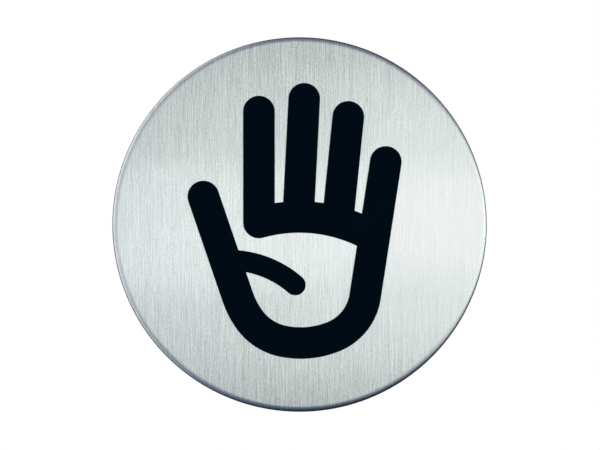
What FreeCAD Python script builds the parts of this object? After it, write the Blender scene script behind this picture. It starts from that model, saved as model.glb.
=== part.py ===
import FreeCAD, Part
import math
import os

# A round stick-on door sign that means no entry: a pressed disc of brushed stainless steel,
# a black open-hand figure printed on its face, and a foam pad that glues it to the door.
# Millimetres. +Z is up and +X is to the right as the sign is read. The door is the plane Y = 0,
# the face looks along -Y, and the origin is the centre of the pad's back.

# Steel disc, pressed from flat sheet with its edge rolled back all round
disc_diameter = 83.0
sheet_thickness = 0.6
inner_bend_radius = 0.5       # inside of the rolled edge
rim_straight = 0.4            # flat part of the rim past the bend
cut_edge_chamfer = 0.1        # on both corners of the sheet's cut edge

# Adhesive pad, a die-cut disc of double-sided foam inside the rim
pad_gap = 2.4                 # from the pad to the inside of the rim
pad_proud = 0.1               # past the rim's cut edge, so that the rim clears the door

# Hand figure: strokes of ink, each drawn along its middle line. Angles are in degrees.
ink_thickness = 0.08
stroke_width = 7.0

# The fingers stand on an arc of knuckles, whose centre is measured from the disc's centre
knuckle_centre_x = -0.07
knuckle_centre_z = -31.37
knuckle_radius = 33.04
index_angle = 15.66           # round the arc, to the left of the vertical
finger_pitch_angle = 15.27    # round the arc, from one finger to the next
finger_spread_angle = 2.91    # each finger leans this much more to the right than the last
index_length = 24.55          # from the knuckle arc to the centre of the round tip
middle_length = 26.19
ring_length = 23.39
little_length = 16.86

# The little finger's stroke runs on down the side of the hand, round the palm and up the thumb
hand_side_length = 13.32
outer_heel_radius = 11.43
outer_heel_angle = 59.75
heel_radius = 19.51
heel_angle = 33.06
thumb_heel_radius = 12.17
thumb_heel_angle = 42.82
thumb_root_radius = 19.16
thumb_root_angle = 16.76
thumb_length = 23.5

# The crease at the ball of the thumb is a thinner stroke that leaves the middle of the thumb
crease_width = 4.6
crease_from_thumb_tip = 14.92
crease_start_angle = 2.15     # above the horizontal, where it leaves
crease_radius = 22.38
crease_bend_angle = 43.08

# Places along the knuckle arc
INDEX, MIDDLE, RING, LITTLE = range(4)

# Worked out from the sizes above
disc_radius = disc_diameter / 2
outer_bend_radius = inner_bend_radius + sheet_thickness
rim_y = -pad_proud
face_y = rim_y - rim_straight - outer_bend_radius
floor_y = face_y + sheet_thickness
rim_inner_radius = disc_radius - sheet_thickness
pad_radius = rim_inner_radius - pad_gap


def vector_at(heading):
    """Unit vector in the face at an angle from +X towards +Z."""
    angle = math.radians(heading)
    return FreeCAD.Vector(math.cos(angle), 0, math.sin(angle))


def left_of(heading):
    """Unit vector to the left of a heading."""
    return vector_at(heading + 90)


def line(start, end):
    """A straight edge."""
    return Part.LineSegment(start, end).toShape()


def on_section(radius, y):
    """A point of the disc's half section, which lies in the plane Z = 0."""
    return FreeCAD.Vector(radius, y, 0)


def section_lines(*points):
    """The straight edges through points of the half section, each given as a radius and a Y."""
    corners = [on_section(*point) for point in points]
    return [line(start, end) for start, end in zip(corners, corners[1:])]


def section_bend(centre, radius):
    """The quarter circle of the half section that leads from the face round to the rim."""
    middle = radius * math.sqrt(0.5)
    return Part.Arc(
        centre + on_section(0, -radius),
        centre + on_section(middle, -middle),
        centre + on_section(radius, 0),
    ).toShape()


def steel_disc():
    """The pan that the press leaves: the half section of face, bend and rim, revolved about Y."""
    bend_centre = on_section(disc_radius - outer_bend_radius, face_y + outer_bend_radius)
    face = section_lines((0, floor_y), (0, face_y), (bend_centre.x, face_y))
    rim = section_lines(
        (disc_radius, bend_centre.y),
        (disc_radius, rim_y - cut_edge_chamfer),
        (disc_radius - cut_edge_chamfer, rim_y),
        (rim_inner_radius + cut_edge_chamfer, rim_y),
        (rim_inner_radius, rim_y - cut_edge_chamfer),
        (rim_inner_radius, bend_centre.y),
    )
    floor = section_lines((bend_centre.x, floor_y), (0, floor_y))
    outside = face + [section_bend(bend_centre, outer_bend_radius)]
    inside = [section_bend(bend_centre, inner_bend_radius)] + floor
    section = Part.Face(Part.Wire(outside + rim + inside))
    return section.revolve(FreeCAD.Vector(0, 0, 0), FreeCAD.Vector(0, 1, 0), 360)


def adhesive_pad():
    """The foam disc, face to face with the inside of the pan."""
    return Part.makeCylinder(pad_radius, -floor_y, on_section(0, floor_y), FreeCAD.Vector(0, 1, 0))


def straight(length):
    """A straight run of a stroke, as its length and turn."""
    return length, 0


def bend(radius, turn):
    """A run along an arc, as its length and turn. A positive turn goes to the left."""
    return radius * math.radians(abs(turn)), turn


def travel(place, heading, run, share):
    """Where a share of a run leads to, and the heading there."""
    length, turn = run
    if turn == 0:
        return place + vector_at(heading) * (length * share), heading
    radius = length / math.radians(turn)
    centre = place + left_of(heading) * radius
    new_heading = heading + turn * share
    return centre - left_of(new_heading) * radius, new_heading


def edge_through(points, run):
    """One side of a run, from its first, middle and last points."""
    if run[1] == 0:
        return line(points[0], points[2])
    return Part.Arc(*points).toShape()


def end_cap(place, heading, radius, is_round):
    """Closes a stroke from its right side to its left, for a stroke that comes in along heading."""
    side = left_of(heading) * radius
    if is_round:
        tip = place + vector_at(heading) * radius
        return Part.Arc(place - side, tip, place + side).toShape()
    return line(place - side, place + side)


def pen_stroke(start, heading, runs, width, round_start=False, round_end=False):
    """The area that a pen of this width covers along straight and bent runs, each tangent to the last."""
    radius = width / 2
    left = []
    right = []
    place = start
    first_cap = end_cap(start, heading + 180, radius, round_start)
    for run in runs:
        poses = [travel(place, heading, run, share) for share in (0, 0.5, 1)]
        left.append(edge_through([spot + left_of(way) * radius for spot, way in poses], run))
        right.append(edge_through([spot - left_of(way) * radius for spot, way in poses], run))
        place, heading = poses[-1]
    last_cap = end_cap(place, heading, radius, round_end)
    return Part.Face(Part.Wire(right + [last_cap] + left[::-1] + [first_cap]))


def follow(place, heading, runs):
    """Where a path ends, and its heading there."""
    for run in runs:
        place, heading = travel(place, heading, run, 1)
    return place, heading


def knuckle(finger):
    """The foot of a finger on the knuckle arc, and the finger's heading."""
    centre = FreeCAD.Vector(knuckle_centre_x, face_y, knuckle_centre_z)
    from_vertical = finger * finger_pitch_angle - index_angle
    foot = centre + vector_at(90 - from_vertical) * knuckle_radius
    return foot, 90 - finger * finger_spread_angle


def finger_stroke(finger, length):
    """A finger from its knuckle to its round tip. The index finger's foot is the hand's round corner."""
    foot, upward = knuckle(finger)
    return pen_stroke(foot, upward, [straight(length)], stroke_width, finger == INDEX, True)


def knuckle_stroke():
    """The band across the palm's top, from the index finger's foot to the little finger's."""
    foot, _ = knuckle(INDEX)
    across = (LITTLE - INDEX) * finger_pitch_angle
    return pen_stroke(foot, index_angle, [bend(knuckle_radius, -across)], stroke_width)


def palm_runs():
    """From the little finger's foot round the palm to the thumb's tip, always turning right."""
    return [
        straight(hand_side_length),
        bend(outer_heel_radius, -outer_heel_angle),
        bend(heel_radius, -heel_angle),
        bend(thumb_heel_radius, -thumb_heel_angle),
        bend(thumb_root_radius, -thumb_root_angle),
        straight(thumb_length),
    ]


def palm_stroke():
    """One stroke from the little finger's tip down, round the palm and up to the thumb's tip."""
    foot, upward = knuckle(LITTLE)
    tip = foot + vector_at(upward) * little_length
    return pen_stroke(tip, upward + 180, [straight(little_length)] + palm_runs(), stroke_width, True, True)


def crease_stroke():
    """The crease, from inside the thumb's stroke over the ball of the thumb to a round end."""
    foot, upward = knuckle(LITTLE)
    thumb_tip, thumb_heading = follow(foot, upward + 180, palm_runs())
    start = thumb_tip - vector_at(thumb_heading) * crease_from_thumb_tip
    runs = [bend(crease_radius, -crease_bend_angle)]
    return pen_stroke(start, crease_start_angle, runs, crease_width, False, True)


def hand_symbol():
    """The whole figure as one film of ink on the face."""
    strokes = [
        finger_stroke(INDEX, index_length),
        finger_stroke(MIDDLE, middle_length),
        finger_stroke(RING, ring_length),
        knuckle_stroke(),
        palm_stroke(),
        crease_stroke(),
    ]
    outline = strokes[0].fuse(strokes[1:]).removeSplitter().Faces[0]
    return outline.extrude(FreeCAD.Vector(0, -ink_thickness, 0))


os.makedirs("parts", exist_ok=True)
for make in (steel_disc, hand_symbol, adhesive_pad):
    make().exportStep("parts/" + make.__name__ + ".step")
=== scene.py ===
import math

import bpy
import numpy as np
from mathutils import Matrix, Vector


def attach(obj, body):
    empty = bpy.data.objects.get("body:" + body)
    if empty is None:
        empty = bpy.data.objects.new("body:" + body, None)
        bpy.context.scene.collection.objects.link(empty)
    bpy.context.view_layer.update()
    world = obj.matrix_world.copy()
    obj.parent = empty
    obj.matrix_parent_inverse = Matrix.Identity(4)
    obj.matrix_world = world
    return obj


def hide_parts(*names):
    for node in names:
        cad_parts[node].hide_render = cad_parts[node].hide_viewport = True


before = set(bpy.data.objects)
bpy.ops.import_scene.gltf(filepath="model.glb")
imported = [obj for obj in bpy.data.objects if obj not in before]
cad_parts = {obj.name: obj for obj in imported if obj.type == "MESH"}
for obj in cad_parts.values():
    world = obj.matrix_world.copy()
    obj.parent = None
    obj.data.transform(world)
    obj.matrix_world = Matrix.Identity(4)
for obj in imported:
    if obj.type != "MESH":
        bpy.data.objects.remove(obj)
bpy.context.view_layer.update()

# A round stick-on door sign: a pressed disc of brushed stainless steel, a black open hand
# printed on its face, and a foam pad behind it. Metres, in the frame of the CAD model: the face
# looks along -Y, +Z is up, and the door that the sign sticks to would be the plane Y = 0.

# The disc's section, as in the CAD model but for the wider bend
disc_radius = 0.0415
sheet_thickness = 0.0006
face_y = -0.0016
pan_floor_y = face_y + sheet_thickness
bend_y = -0.0005               # where the bend ends and the straight part of the rim starts
bend_width = 0.00145           # from the start of the bend to the edge, as seen from the front
rim_y = -0.0001
cut_edge_chamfer = 0.0001
bend_start_radius = disc_radius - bend_width
rim_inner_radius = disc_radius - sheet_thickness
inner_ring_radius = 0.02       # a ring of corners on the flats, so that their faces aren't slivers
disc_segments = 720

# The foam pad
pad_radius = 0.0385
pad_edge_radius = 0.00012      # the die rounds both edges of the foam a little
pad_waist = 0.00006            # how far the cut wall draws in halfway through the foam
pad_segments = 360


def linear(colour):
    """An sRGB hex colour as linear RGBA."""
    channels = np.array([int(colour[i:i + 2], 16) for i in (1, 3, 5)]) / 255
    low = channels / 12.92
    high = ((channels + 0.055) / 1.055) ** 2.4
    return (*np.where(channels <= 0.04045, low, high), 1.0)


def add(tree, kind, inputs, **settings):
    """Adds a node. Inputs go by name or number, each a value or the node or socket to link."""
    node = tree.nodes.new(kind)
    for name, value in settings.items():
        setattr(node, name, value)
    for name, value in inputs.items():
        if isinstance(value, bpy.types.Node):
            value = next(socket for socket in value.outputs if socket.enabled)
        if isinstance(value, bpy.types.NodeSocket):
            tree.links.new(value, node.inputs[name])
        else:
            node.inputs[name].default_value = value
    return node


def calculate(tree, operation, *values, **settings):
    """A sum, product, power or the like of numbers and nodes. MULTIPLY_ADD is a times b plus c."""
    return add(tree, "ShaderNodeMath", dict(enumerate(values)), operation=operation, **settings)


def ramp(tree, value, start, end, first=0.0, last=1.0, shape="LINEAR"):
    """Goes from first to last while the value goes from start to end, and stays level outside."""
    return add(tree, "ShaderNodeMapRange", {
        "Value": value, "From Min": start, "From Max": end, "To Min": first, "To Max": last,
    }, interpolation_type=shape)


def blend(tree, factor, first, second):
    """A mix of two colours, each a hex colour or a socket: the first at 0 and the second at 1."""
    ends = [linear(end) if isinstance(end, str) else end for end in (first, second)]
    mixed = add(tree, "ShaderNodeMix", {0: factor, 6: ends[0], 7: ends[1]}, data_type="RGBA")
    return mixed.outputs[2]


def noise(tree, place, size, detail, roughness=0.5, dimensions="3D"):
    """Cloudy noise with patches of about this size, in the units of the place."""
    return add(tree, "ShaderNodeTexNoise", {
        "Vector": place, "Scale": 1 / size, "Detail": detail, "Roughness": roughness,
    }, noise_dimensions=dimensions)


def to_cell_middle(tree, place, size):
    """How far it is to the middle of the nearest of many cells about this big, in cell sizes."""
    return add(tree, "ShaderNodeTexVoronoi", {
        "Vector": place, "Scale": 1 / size, "Randomness": 1.0,
    })


def object_place(tree):
    """The place on the object, in metres."""
    return add(tree, "ShaderNodeTexCoord", {}).outputs["Object"]


def new_material(name):
    """A node material with nothing in it yet, and its node tree."""
    material = bpy.data.materials.new(name)
    material.use_nodes = True
    material.node_tree.nodes.clear()
    return material, material.node_tree


def finish_material(tree, inputs):
    """Ends a material with a Principled surface that has these inputs."""
    surface = add(tree, "ShaderNodeBsdfPrincipled", inputs)
    add(tree, "ShaderNodeOutputMaterial", {"Surface": surface})


def put_in_scene(name, data):
    """An object at the origin for a mesh, lamp or camera."""
    piece = bpy.data.objects.new(name, data)
    bpy.context.scene.collection.objects.link(piece)
    return piece


def straight(start, end, tilt):
    """A straight piece of a profile: its (radius, y) points and the surface's tilt at each."""
    return np.array([start, end]), np.array([tilt, tilt])


def arc(centre, radii, turns, steps, side=1):
    """A round piece of a profile, on an ellipse with the given half widths a and b along radius
    and y. At turn u the point is the centre plus side times (a sin u, -b cos u), and the surface
    there tilts by the angle of (b sin u, a cos u). Turns and tilts are in degrees."""
    turn = np.radians(np.linspace(*turns, steps + 1))
    across, deep = radii
    from_centre = np.stack([across * np.sin(turn), -deep * np.cos(turn)], axis=1)
    tilt = np.degrees(np.unwrap(np.arctan2(deep * np.sin(turn), across * np.cos(turn))))
    return np.array(centre) + side * from_centre, tilt


def revolved(name, pieces, segments):
    """A closed surface of revolution about the Y axis, and the piece of the profile of each face.
    The point at place k of the profile and angle a is (r_k cos a, y_k, r_k sin a). The first and
    the last place are poles. The normal at tilt t is (sin t cos a, -cos t, sin t sin a), exact on
    each piece, so that flats stay flat and the corners between pieces stay sharp.
    The UV map "blank" lays the sheet out flat: s_k (cos a, sin a), in metres, where s_k is the
    length along the profile from the nearer pole."""
    profile = np.concatenate([pieces[0][0][:1]] + [points[1:] for points, _ in pieces])
    tilt_before = np.radians(np.concatenate([tilt[:-1] for _, tilt in pieces]))
    tilt_after = np.radians(np.concatenate([tilt[1:] for _, tilt in pieces]))
    piece_of_strip = np.concatenate([
        np.full(len(tilt) - 1, number) for number, (_, tilt) in enumerate(pieces)
    ])
    strips = len(profile) - 1
    along = np.concatenate([[0], np.cumsum(np.linalg.norm(np.diff(profile, axis=0), axis=1))])
    from_pole = np.minimum(along, along[-1] - along)
    angle = np.arange(segments) * (2 * math.pi / segments)
    cosine, sine = np.cos(angle), np.sin(angle)

    # The corners: the first pole, the rings, the last pole
    radius, y = profile[1:-1, :1], profile[1:-1, 1:]
    rings = np.stack(np.broadcast_arrays(radius * cosine, y, radius * sine), axis=2)
    first_pole = [[0, profile[0, 1], 0]]
    last_pole = [[0, profile[-1, 1], 0]]
    vertices = np.concatenate([first_pole, rings.reshape(-1, 3), last_pole])

    # Four corners for each face of each strip, less one where the strip ends in a pole
    strip, turn = np.meshgrid(np.arange(strips), np.arange(segments), indexing="ij")
    place = strip[..., None] + [0, 1, 1, 0]
    turn = (turn[..., None] + [0, 0, 1, 1]) % segments
    vertex = np.clip(1 + (place - 1) * segments + turn, 0, len(vertices) - 1)
    vertex[place == 0] = 0
    vertex[place == strips] = len(vertices) - 1
    kept = np.ones(vertex.shape, bool)
    kept[0, :, 3] = False
    kept[-1, :, 2] = False
    corners = kept.sum(axis=2).ravel()

    tilt = np.stack([tilt_before, tilt_after, tilt_after, tilt_before], axis=1)[:, None]
    normal = np.stack(np.broadcast_arrays(
        np.sin(tilt) * cosine[turn], -np.cos(tilt), np.sin(tilt) * sine[turn],
    ), axis=3)
    blank = from_pole[place][..., None] * np.stack([cosine[turn], sine[turn]], axis=3)

    mesh = bpy.data.meshes.new(name)
    mesh.vertices.add(len(vertices))
    mesh.vertices.foreach_set("co", vertices.ravel())
    mesh.loops.add(int(corners.sum()))
    mesh.loops.foreach_set("vertex_index", vertex[kept])
    mesh.polygons.add(len(corners))
    mesh.polygons.foreach_set("loop_start", np.concatenate([[0], np.cumsum(corners)[:-1]]))
    mesh.update(calc_edges=True)
    mesh.uv_layers.new(name="blank").uv.foreach_set("vector", blank[kept].ravel())
    mesh.shade_smooth()
    mesh.normals_split_custom_set(normal[kept])
    mesh.validate()
    return put_in_scene(name, mesh), np.repeat(piece_of_strip, segments)


def dress(piece, materials, second_material_on):
    """Gives a piece its two materials, the second on the faces where the mask is true, and its
    body."""
    for material in materials:
        piece.data.materials.append(material)
    piece.data.polygons.foreach_set("material_index", second_material_on.astype(int))
    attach(piece, "root")


def brushed_stainless():
    """Stainless steel sheet, finished with an abrasive belt that ran up and down the sign: the
    eye sees fine upright scratches, long and short, and lights drawn out sideways across them."""
    material, tree = new_material("stainless_sheet_belt_brushed")
    blank = add(tree, "ShaderNodeUVMap", {}, uv_map="blank")
    row_distance = 500.0       # in steps of the noise, so that no two scratches look alike
    burr_offset = 0.00022      # to one side of its scratch, in metres
    burr_height = -0.25        # times the depth of its scratch, and the other way

    def drawn_out(width, length, lean, seed):
        """The sheet's place in steps of a width and a length in metres, turned by some degrees."""
        return add(tree, "ShaderNodeMapping", {
            "Vector": blank,
            "Location": (seed, seed * 0.7, 0),
            "Rotation": (0, 0, math.radians(lean)),
            "Scale": (1 / width, 1 / length, 1),
        })

    def flat_noise(place, detail):
        """Noise in the plane, at a place given in its own steps."""
        return noise(tree, place, 1, detail, roughness=0.6, dimensions="2D")

    def scratches(width, length, lean, seed):
        """Straight scratches side by side, about this wide. Each has a depth of its own, which
        comes and goes along it over about this length, and throws up a low burr beside it."""
        axes = add(tree, "ShaderNodeSeparateXYZ", {
            "Vector": drawn_out(width, length, lean, seed),
        }).outputs

        def depth_at(x):
            """The depth of the scratch that holds a place across the sheet. Its cell's colour
            picks the row of the noise that it takes its depth from."""
            cell = add(tree, "ShaderNodeTexVoronoi", {
                "W": x, "Scale": 1.0, "Randomness": 1.0,
            }, voronoi_dimensions="1D")
            own = add(tree, "ShaderNodeSeparateColor", {"Color": cell.outputs["Color"]})
            row = calculate(tree, "MULTIPLY", own.outputs["Red"], row_distance)
            spot = add(tree, "ShaderNodeCombineXYZ", {"X": row, "Y": axes["Y"]})
            return flat_noise(spot, detail=2)

        beside = calculate(tree, "ADD", axes["X"], burr_offset / width)
        return calculate(tree, "MULTIPLY_ADD", depth_at(beside), burr_height, depth_at(axes["X"]))

    # Belt scratches are 0.02 to 0.1 mm wide. That is under half a pixel, so they are drawn
    # 0.14 to 0.2 mm wide, which is what the eye makes out at this distance.
    layers = [
        (0.30, flat_noise(drawn_out(width=0.00018, length=0.00065, lean=0.8, seed=3.1), detail=1)),
        (0.38, scratches(width=0.00014, length=0.0040, lean=-0.4, seed=17.3)),
        (0.34, scratches(width=0.00019, length=0.0150, lean=0.5, seed=41.9)),
        (0.08, flat_noise(drawn_out(width=0.0020, length=0.0700, lean=0.0, seed=77.7), detail=1)),
    ]
    total = 0.0
    for weight, layer in layers:
        total = calculate(tree, "MULTIPLY_ADD", layer, weight, total)
    mean_of_total = 0.46

    # The scratches are the sheet's own, but how strongly they show in the colour is painted to
    # follow the light, as a painted highlight that washes them out: least across the middle where
    # the highlight band falls, less still to the right where it is brightest, and more towards the
    # top and the bottom
    spot = add(tree, "ShaderNodeSeparateXYZ", {"Vector": blank}).outputs
    at_middle = ramp(tree, spot["X"], -0.020, 0.030, 1.82, 0.63)
    more_at_ends = ramp(tree, spot["X"], -0.020, 0.0, 0.98, 1.58)
    middle_to_end = 0.035
    upwards = calculate(tree, "MULTIPLY", spot["Y"], 1 / middle_to_end)
    upwards = calculate(tree, "ABSOLUTE", upwards)
    upwards = calculate(tree, "POWER", upwards, 1.5)
    # depth here is how strongly the scratches show in the colour, lowered where the highlight
    # falls: painted highlight
    depth = calculate(tree, "MULTIPLY_ADD", upwards, more_at_ends, at_middle)
    centred = calculate(tree, "SUBTRACT", total, mean_of_total)
    level = calculate(tree, "MULTIPLY_ADD", centred, depth, 0.5, use_clamp=True)
    colour = blend(tree, level, "#ADB7B5", "#EDF6F4")

    # Painted shade: the outer side of the rolled edge is painted a darker grey, for the dark line
    # that the edge shows where it turns away from the light. Lengths along the sheet, in metres,
    # from the start of the bend.
    painted_shade_start, painted_shade_end = 0.00125, 0.00150
    from_middle = add(tree, "ShaderNodeVectorMath", {0: blank}, operation="LENGTH")
    side = ramp(tree, from_middle.outputs["Value"], bend_start_radius + painted_shade_start,
                bend_start_radius + painted_shade_end, shape="SMOOTHSTEP")
    finish_material(tree, {
        # the dark grey on the outer side of the edge is painted shade
        "Base Color": blend(tree, side, colour, "#7C8089"),
        "Metallic": 1.0,
        "Roughness": ramp(tree, level, 0.0, 1.0, 0.33, 0.29),
        "Anisotropic": 0.95,
        "Normal": add(tree, "ShaderNodeBump", {
            "Height": total, "Strength": 0.5, "Distance": 0.00001,
        }),
        "Tangent": add(tree, "ShaderNodeTangent", {}, direction_type="UV_MAP", uv_map="blank"),
    })
    return material


def mill_stainless():
    """The same sheet's other side and its cut edge, as they left the mill: an even, greyer,
    duller steel with faint roll lines and cloudy patches."""
    material, tree = new_material("stainless_sheet_mill_finish")
    blank = add(tree, "ShaderNodeUVMap", {}, uv_map="blank")
    roll_line_width, roll_line_length = 0.0003, 0.006
    lines = add(tree, "ShaderNodeMapping", {
        "Vector": blank, "Scale": (1 / roll_line_width, 1 / roll_line_length, 1),
    })
    lines = noise(tree, lines, 1, detail=2.0, dimensions="2D")
    clouds = noise(tree, blank, 0.004, detail=3.0, dimensions="2D")
    total = calculate(tree, "MULTIPLY_ADD", lines, 0.5, 0.0)
    total = calculate(tree, "MULTIPLY_ADD", clouds, 0.5, total)
    finish_material(tree, {
        "Base Color": blend(tree, total, "#9FA5A4", "#CDD3D1"),
        "Metallic": 1.0,
        "Roughness": ramp(tree, total, 0.3, 0.7, 0.40, 0.50),
        "Normal": add(tree, "ShaderNodeBump", {
            "Height": total, "Strength": 0.4, "Distance": 0.00001,
        }),
    })
    return material


def screen_ink():
    """Black screen-printing ink, stoved on: deep bluish black with hardly any shine, as in the
    photo, and the faint orange peel of a wet film that levelled as it dried."""
    material, tree = new_material("screen_printed_black_ink")
    place = object_place(tree)
    peel = noise(tree, place, 0.0007, detail=2.0)
    clouds = noise(tree, place, 0.009, detail=2.0)
    finish_material(tree, {
        "Base Color": blend(tree, clouds, "#000913", "#000B16"),
        "Roughness": ramp(tree, peel, 0.3, 0.7, 0.42, 0.52),
        "Specular IOR Level": 0.012,
        "Normal": add(tree, "ShaderNodeBump", {
            "Height": peel, "Strength": 0.5, "Distance": 0.00002,
        }),
    })
    return material


def foam():
    """White closed-cell polyethylene foam, die cut: a dull chalky wall of cells cut open."""
    material, tree = new_material("polyethylene_foam_die_cut")
    place = object_place(tree)
    # Foam tape has cells of 0.1 to 0.3 mm
    cells = to_cell_middle(tree, place, 0.0003)
    clouds = noise(tree, place, 0.005, detail=3.0)
    shade = calculate(tree, "MULTIPLY_ADD", cells, 0.7, clouds)
    level = ramp(tree, shade, 0.4, 1.2)
    finish_material(tree, {
        "Base Color": blend(tree, level, "#D9D9D3", "#F0F0EA"),
        "Roughness": ramp(tree, level, 0.0, 1.0, 0.85, 0.7),
        "Normal": add(tree, "ShaderNodeBump", {
            "Height": cells, "Strength": 0.8, "Distance": 0.00005,
        }),
    })
    return material


def adhesive():
    """Clear acrylic adhesive on white foam, as the peeled liner leaves it: a wet-looking, slightly
    yellowish skin, thicker and thinner in clouds and faint coating lines, with the fine print of
    the liner and small trapped bubbles, which are paler."""
    material, tree = new_material("acrylic_adhesive_on_foam")
    place = object_place(tree)
    liner_print = noise(tree, place, 0.0008, detail=2.0)
    clouds = noise(tree, place, 0.008, detail=3.0)
    coating_line_width, coating_line_length = 0.0011, 0.035
    lines = add(tree, "ShaderNodeMapping", {
        "Vector": place, "Scale": (1 / coating_line_width, 0, 1 / coating_line_length),
    })
    lines = noise(tree, lines, 1, detail=2.0)
    thickness = calculate(tree, "MULTIPLY_ADD", lines, 0.5, clouds)
    thickness = ramp(tree, thickness, 0.58, 0.92)
    # The bubbles sit in the middles of cells, and their core and rim are in cell sizes
    bubble_spacing, bubble_core, bubble_rim = 0.0022, 0.06, 0.22
    from_bubble = to_cell_middle(tree, place, bubble_spacing)
    bubble = ramp(tree, from_bubble, bubble_core, bubble_rim, 1.0, 0.0)
    height = calculate(tree, "MULTIPLY_ADD", bubble, 0.8, liner_print)
    skin = blend(tree, thickness, "#E9E8E1", "#DEDDD3")
    finish_material(tree, {
        "Base Color": blend(tree, bubble, skin, "#EFEFEA"),
        "Roughness": ramp(tree, clouds, 0.3, 0.7, 0.22, 0.40),
        "Normal": add(tree, "ShaderNodeBump", {
            "Height": height, "Strength": 0.5, "Distance": 0.00004,
        }),
    })
    return material


def steel_disc():
    """The pressed pan: the outside of face, bend and rim, the cut edge with its two chamfers,
    then the inside of rim, bend and floor."""
    bend_centre = (bend_start_radius, bend_y)
    outer_bend = (disc_radius - bend_start_radius, bend_y - face_y)
    inner_bend = (rim_inner_radius - bend_start_radius, bend_y - pan_floor_y)
    chamfer_y = rim_y - cut_edge_chamfer
    outer_chamfer_radius = disc_radius - cut_edge_chamfer
    inner_chamfer_radius = rim_inner_radius + cut_edge_chamfer
    outside = [
        straight((0, face_y), (inner_ring_radius, face_y), 0),
        straight((inner_ring_radius, face_y), (bend_start_radius, face_y), 0),
        arc(bend_centre, outer_bend, (0, 90), steps=24),
        straight((disc_radius, bend_y), (disc_radius, chamfer_y), 90),
    ]
    cut_edge = [
        straight((disc_radius, chamfer_y), (outer_chamfer_radius, rim_y), 135),
        straight((outer_chamfer_radius, rim_y), (inner_chamfer_radius, rim_y), 180),
        straight((inner_chamfer_radius, rim_y), (rim_inner_radius, chamfer_y), 225),
    ]
    inside = [
        straight((rim_inner_radius, chamfer_y), (rim_inner_radius, bend_y), 270),
        arc(bend_centre, inner_bend, (270, 180), steps=12, side=-1),
        straight((bend_start_radius, pan_floor_y), (inner_ring_radius, pan_floor_y), 180),
        straight((inner_ring_radius, pan_floor_y), (0, pan_floor_y), 180),
    ]
    disc, piece = revolved("brushed_disc", outside + cut_edge + inside, disc_segments)
    materials = [brushed_stainless(), mill_stainless()]
    dress(disc, materials, piece >= len(outside))
    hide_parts("steel_disc")


def adhesive_pad():
    """The foam disc: two flat faces, rounded edges, and a wall that draws in halfway."""
    edge = pad_edge_radius
    edge_radii = (edge, edge)
    flat_radius = pad_radius - edge
    waist = (pad_radius - pad_waist, pan_floor_y / 2)
    pieces = [
        straight((0, pan_floor_y), (flat_radius, pan_floor_y), 0),
        arc((flat_radius, pan_floor_y + edge), edge_radii, (0, 90), steps=6),
        straight((pad_radius, pan_floor_y + edge), waist, 90),
        straight(waist, (pad_radius, -edge), 90),
        arc((flat_radius, -edge), edge_radii, (90, 180), steps=6),
        straight((flat_radius, 0), (0, 0), 180),
    ]
    pad, piece = revolved("foam_pad", pieces, pad_segments)
    glued_faces = (0, len(pieces) - 1)
    dress(pad, [foam(), adhesive()], np.isin(piece, glued_faces))
    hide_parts("adhesive_pad")


def hand_symbol():
    """The printed hand is the CAD model's own film of ink, in a better material."""
    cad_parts["hand_symbol"].material_slots[0].material = screen_ink()


def flat_sheet(name, corners):
    """A flat four-cornered mesh."""
    mesh = bpy.data.meshes.new(name)
    mesh.from_pydata(corners, [], [(0, 1, 2, 3)])
    return put_in_scene(name, mesh)


def seen_directly(tree):
    """1 for what the camera sees, also by reflection or through glass, or else 0."""
    rays = add(tree, "ShaderNodeLightPath", {}).outputs
    seen = calculate(tree, "MAXIMUM", rays["Is Camera Ray"], rays["Is Glossy Ray"])
    return calculate(tree, "MAXIMUM", seen, rays["Is Transmission Ray"])


def studio_world():
    """White all round for the camera and in reflections, and softer light for everything else."""
    world = bpy.data.worlds.new("studio")
    bpy.context.scene.world = world
    world.use_nodes = True
    tree = world.node_tree
    tree.nodes.clear()
    light = add(tree, "ShaderNodeBackground", {"Color": linear("#FFFFFF"), "Strength": 0.6})
    white = add(tree, "ShaderNodeBackground", {"Color": linear("#FFFFFF"), "Strength": 1.0})
    mixed = add(tree, "ShaderNodeMixShader", {0: seen_directly(tree), 1: light, 2: white})
    add(tree, "ShaderNodeOutputWorld", {"Surface": mixed})


def studio_floor():
    """A plain pale floor, a metre below the sign, which hangs at door height in use. So the sign
    can be seen from below too. The floor turns white away from the sign, like the background."""
    half, z = 4.0, -1.0
    white_from, white_at = 0.8, 1.1        # how far from the sign, in metres
    floor = flat_sheet("floor", [
        (-half, -half, z), (half, -half, z), (half, half, z), (-half, half, z),
    ])
    material, tree = new_material("pale_studio_paper")
    paper = add(tree, "ShaderNodeBsdfPrincipled", {
        "Base Color": linear("#F2F2F0"), "Roughness": 0.9, "Specular IOR Level": 0.1,
    })
    white = add(tree, "ShaderNodeEmission", {"Color": linear("#FFFFFF"), "Strength": 1.0})
    distance = add(tree, "ShaderNodeVectorMath", {0: object_place(tree)}, operation="LENGTH")
    far = ramp(tree, distance.outputs["Value"], white_from, white_at, shape="SMOOTHSTEP")
    far = calculate(tree, "MULTIPLY", far, seen_directly(tree))
    surface = add(tree, "ShaderNodeMixShader", {0: far, 1: paper, 2: white})
    add(tree, "ShaderNodeOutputMaterial", {"Surface": surface})
    floor.data.materials.append(material)


def studio_lamp(name, place, size, power, in_reflections=True):
    """A soft square white lamp that looks at the sign. Size in metres, power in watts."""
    lamp = bpy.data.lights.new(name, "AREA")
    lamp.size = size
    lamp.energy = power
    holder = put_in_scene(name, lamp)
    holder.location = place
    holder.rotation_mode = "QUATERNION"
    holder.rotation_quaternion = Vector(-np.array(place)).to_track_quat("-Z", "Y")
    holder.visible_camera = False
    holder.visible_glossy = in_reflections


def only_in_reflections(card):
    """Keeps a card out of the picture and out of the light, so that only shiny surfaces show it."""
    card.visible_camera = False
    card.visible_diffuse = False
    card.visible_shadow = False
    card.visible_transmission = False
    card.visible_volume_scatter = False


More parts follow.
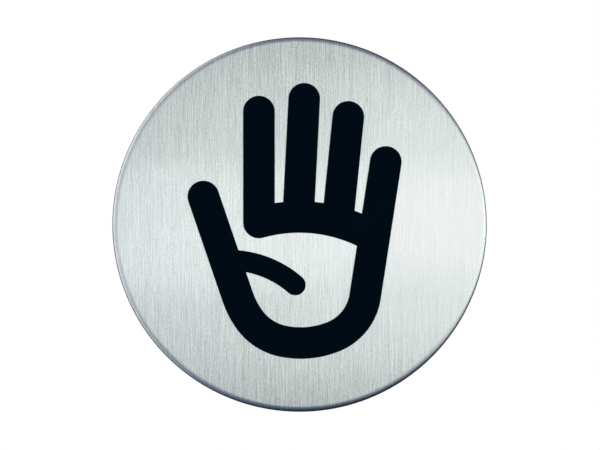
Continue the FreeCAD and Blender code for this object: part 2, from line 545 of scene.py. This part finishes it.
def front_scrim():
    """A lit scrim close in front of the face, as a photographer sets up for flat metal. It has a
    brighter band across the middle. It is brighter to both sides, most of all to the right, and
    falls off up and down. Its numbers were changed until renders came near the photo:
    lengths in metres, and brightness where 1 is white."""
    half_width, half_height, from_face = 0.2, 0.12, 0.065
    y = face_y - from_face
    scrim = flat_sheet("front_scrim", [
        (-half_width, y, -half_height), (-half_width, y, half_height),
        (half_width, y, half_height), (half_width, y, -half_height),
    ])
    material, tree = new_material("lit_scrim")
    axes = add(tree, "ShaderNodeSeparateXYZ", {"Vector": object_place(tree)}).outputs
    x, z = axes["X"], axes["Z"]

    slope_half_width = 0.12
    left_brightness, right_brightness = 0.415, 1.365
    growth_to_sides = 30.0                 # with the square of the distance from the middle
    across = ramp(tree, x, -slope_half_width, slope_half_width, left_brightness, right_brightness)
    squared = calculate(tree, "MULTIPLY", x, x)
    across = calculate(tree, "MULTIPLY_ADD", squared, growth_to_sides, across)

    # Up and down it falls off by up to 0.3, a little more below than above
    fall_start, fall_end, fall_power = 0.015, 0.042, 3.5
    fall = ramp(tree, calculate(tree, "ABSOLUTE", z), fall_start, fall_end)
    fall = calculate(tree, "POWER", fall, fall_power)
    most = calculate(tree, "MULTIPLY_ADD", z, 0.6, -0.31)
    fall = calculate(tree, "MULTIPLY_ADD", fall, most, 1.0)
    # It is a little brighter below than above, most of all to the left
    lean = calculate(tree, "MULTIPLY_ADD", x, 40.0, -0.55)
    lean = calculate(tree, "MULTIPLY_ADD", z, lean, 1.0)

    # The band leans a little, its edges spread apart to the left, and it is brighter there
    band_lean, band_spread = -0.029, 0.051
    band_inner_edge, band_outer_edge = 0.0125, 0.0155
    off_middle = calculate(tree, "MULTIPLY_ADD", x, band_lean, z)
    off_middle = calculate(tree, "ABSOLUTE", off_middle)
    off_middle = calculate(tree, "MULTIPLY_ADD", x, band_spread, off_middle)
    peak = calculate(tree, "MULTIPLY_ADD", x, -1.6, 1.29)
    band = ramp(tree, off_middle, band_inner_edge, band_outer_edge, peak, 1.0, "SMOOTHSTEP")

    strength = across
    for part in (fall, band, lean):
        strength = calculate(tree, "MULTIPLY", strength, part)
    # The brightest part of the highlight is a little warmer
    warmth = ramp(tree, strength, 1.13, 1.22)
    colour = blend(tree, warmth, "#FFFFFF", "#FFF6F8")
    glow = add(tree, "ShaderNodeEmission", {"Color": colour, "Strength": strength})
    add(tree, "ShaderNodeOutputMaterial", {"Surface": glow})
    scrim.data.materials.append(material)
    only_in_reflections(scrim)


def soft_window(offset, half_width):
    """1 at no offset, falling as a squared cosine to 0 at the half width."""
    return np.cos(np.clip(np.abs(offset) / half_width, 0, 1) * (math.pi / 2)) ** 2


def soft_step(value, start, length):
    """0 up to the start, then rising evenly to 1 over the length."""
    return np.clip((value - start) / length, 0, 1)


def ring_of_cards():
    """A short tube round the sign, just outside its edge, seen only in the rolled edge. It is dark
    behind, paler towards the front and darker below, with soft-edged pale cards at the sides and
    a black flag at the lower left. The tube's points are (r cos a, y, r sin a), and each card adds
    its brightness times a soft window round the tube and another along it. Its numbers were
    changed until renders came near the photo: angles in degrees, lengths in metres, and
    brightness where 1 is white."""
    radius = 0.046
    columns, rows = 144, 97
    front, back = -0.028, 0.020
    fade_length = 0.013        # the tube fades in at its front
    angle = np.arange(columns) * (360 / columns)
    turn = np.radians(angle)
    y = np.linspace(front, back, rows)[:, None]

    def around(centre, half_width):
        """A soft window round the tube, in degrees anticlockwise from the right."""
        return soft_window((angle - centre + 180) % 360 - 180, half_width)

    darkest, palest = 0.10, 0.82
    grey = np.clip(0.15 - 36 * y, darkest, palest)
    darker_below = 0.55 * around(273, 64) * soft_step(y, -0.022, 0.011)
    darker_behind = 0.5 * around(296, 70) * soft_step(y, -0.005, 0.0015)
    grey = grey * (1 - darker_below) * (1 - darker_behind)
    # Each card's middle and half width in degrees round the tube, its middle and half length along
    # Y, and its brightness. The last one is the black flag, which takes light away.
    cards = [
        (-8, 92, -0.0140, 0.0120, 0.43),
        (24, 34, -0.0060, 0.0039, 0.95),
        (-20, 35, -0.0062, 0.0036, 1.40),
        (1, 32, -0.0027, 0.0021, 2.46),
        (34, 27, 0.0008, 0.0029, 0.45),
        (186, 64, -0.0018, 0.0045, 1.22),
        (140, 50, 0.0012, 0.0055, 1.60),
        (205, 62, -0.0155, 0.0085, 0.15),
        (219, 31, -0.0068, 0.0034, -0.25),
    ]
    for centre, half_width, place, half_length, brightness in cards:
        round_the_tube = brightness * around(centre, half_width)
        grey = grey + round_the_tube * soft_window(y - place, half_length)

    # Pale parts are a little warm to the right, and dark ones bluish, most of all above and below
    blueness = np.clip(0.9 - grey, 0, 1) ** 2
    red = 1.04 - blueness * (0.20 + 0.26 * np.clip(-np.sin(turn), 0, 1) ** 2)
    blue = 1.03 - 0.04 * np.cos(turn) + blueness * (0.50 + 0.26 * np.sin(turn) ** 2)
    # The card at the upper left is less blue than the other pale ones
    blue = blue - 0.05 * around(143, 42)
    solid = soft_step(y, front, fade_length) * np.ones(columns)
    rgba = np.stack([grey * red, grey, grey * blue, solid], axis=2)

    points = np.stack(np.broadcast_arrays(radius * np.cos(turn), y, radius * np.sin(turn)), axis=2)
    column = np.arange(columns)
    row_start = np.arange(rows - 1)[:, None] * columns
    corner = row_start + column
    beside = row_start + (column + 1) % columns
    faces = np.stack([corner, beside, beside + columns, corner + columns], axis=2).reshape(-1, 4)
    mesh = bpy.data.meshes.new("ring_of_cards")
    mesh.from_pydata(points.reshape(-1, 3).tolist(), [], faces.tolist())
    layer = mesh.attributes.new("card_colour", "FLOAT_COLOR", "POINT")
    layer.data.foreach_set("color", rgba.ravel())
    ring = put_in_scene("ring_of_cards", mesh)

    material, tree = new_material("grey_card")
    card = add(tree, "ShaderNodeAttribute", {}, attribute_name="card_colour")
    glow = add(tree, "ShaderNodeEmission", {"Color": card.outputs["Color"], "Strength": 1.0})
    clear = add(tree, "ShaderNodeBsdfTransparent", {})
    mixed = add(tree, "ShaderNodeMixShader", {0: card.outputs["Alpha"], 1: clear, 2: glow})
    add(tree, "ShaderNodeOutputMaterial", {"Surface": mixed})
    ring.data.materials.append(material)
    only_in_reflections(ring)


def product_camera():
    """A long lens square on to the face, from 0.74 m, as far as a photographer stands for this. At
    the exact distance the sign is as large in the picture as in the photo."""
    distance = 0.7392
    to_right, to_top = 0.000095, -0.000104     # because the photo's sign isn't quite in the middle
    camera = bpy.data.cameras.new("camera")
    camera.lens = 200
    camera.sensor_width = 36
    camera.clip_start = 0.01
    camera.clip_end = 20
    holder = put_in_scene("camera", camera)
    holder.location = (to_right, -distance, to_top)
    holder.rotation_euler = (math.radians(90), 0, 0)
    bpy.context.scene.camera = holder


product_camera()
steel_disc()
adhesive_pad()
hand_symbol()
studio_world()
studio_floor()
studio_lamp("overhead", (0.1, -0.3, 1.1), size=0.7, power=5.0, in_reflections=False)
studio_lamp("right", (0.8, -0.25, 0.1), size=0.5, power=3.0)
studio_lamp("left", (-0.8, -0.1, 0.15), size=0.5, power=2.0)
studio_lamp("back", (0.3, 0.8, 0.5), size=0.6, power=3.0)
front_scrim()
ring_of_cards()

bpy.context.scene.view_settings.view_transform = "Standard"
